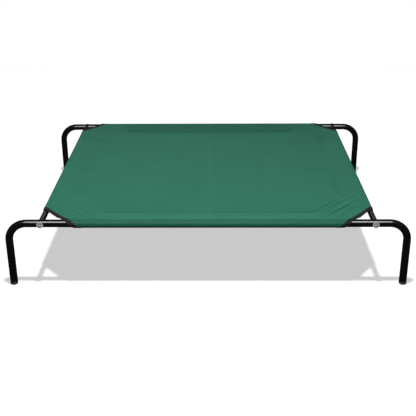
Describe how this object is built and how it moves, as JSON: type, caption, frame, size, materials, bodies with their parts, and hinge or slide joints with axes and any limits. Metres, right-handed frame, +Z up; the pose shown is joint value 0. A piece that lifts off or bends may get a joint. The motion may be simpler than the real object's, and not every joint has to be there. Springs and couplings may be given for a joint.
{
  "type": "elevated dog bed",
  "caption": "Raised dog bed: a taut cloth sheet with sewn sleeves on a black tube frame, with bent legs, bolted cross tubes and taped corner cut-outs.",
  "frame": {"origin": "on the floor under the middle of the bed", "axes": "+X along the two long rails, +Y from the front rail to the rear rail, +Z up"},
  "size_m": [1.1, 0.8128, 0.1978],
  "materials": {
    "frame_tube": "semi-gloss black powder coat with a very fine orange peel",
    "zinc_fastener": "bright zinc plate with fine turning marks",
    "foot_cap": "moulded black polyethylene, fine matte grain",
    "sheet_cloth": "matte green plain-weave coated polyester",
    "binding_tape": "black grosgrain binding tape, folded and stitched"
  },
  "bodies": {
    "root": {"front_left_rail": "frame_tube", "front_right_rail": "frame_tube", "rear_left_rail": "frame_tube", "rear_right_rail": "frame_tube", "left_cross_tube": "frame_tube", "right_cross_tube": "frame_tube", "front_left_bolt": "zinc_fastener", "front_left_washer": "zinc_fastener", "front_left_insert": "zinc_fastener", "front_right_bolt": "zinc_fastener", "front_right_washer": "zinc_fastener", "front_right_insert": "zinc_fastener", "rear_left_bolt": "zinc_fastener", "rear_left_washer": "zinc_fastener", "rear_left_insert": "zinc_fastener", "rear_right_bolt": "zinc_fastener", "rear_right_washer": "zinc_fastener", "rear_right_insert": "zinc_fastener", "front_left_foot_cap": "foot_cap", "front_right_foot_cap": "foot_cap", "rear_left_foot_cap": "foot_cap", "rear_right_foot_cap": "foot_cap", "bed_sheet": "sheet_cloth", "front_left_binding": "binding_tape", "front_right_binding": "binding_tape", "rear_left_binding": "binding_tape", "rear_right_binding": "binding_tape"}
  },
  "joints": []
}
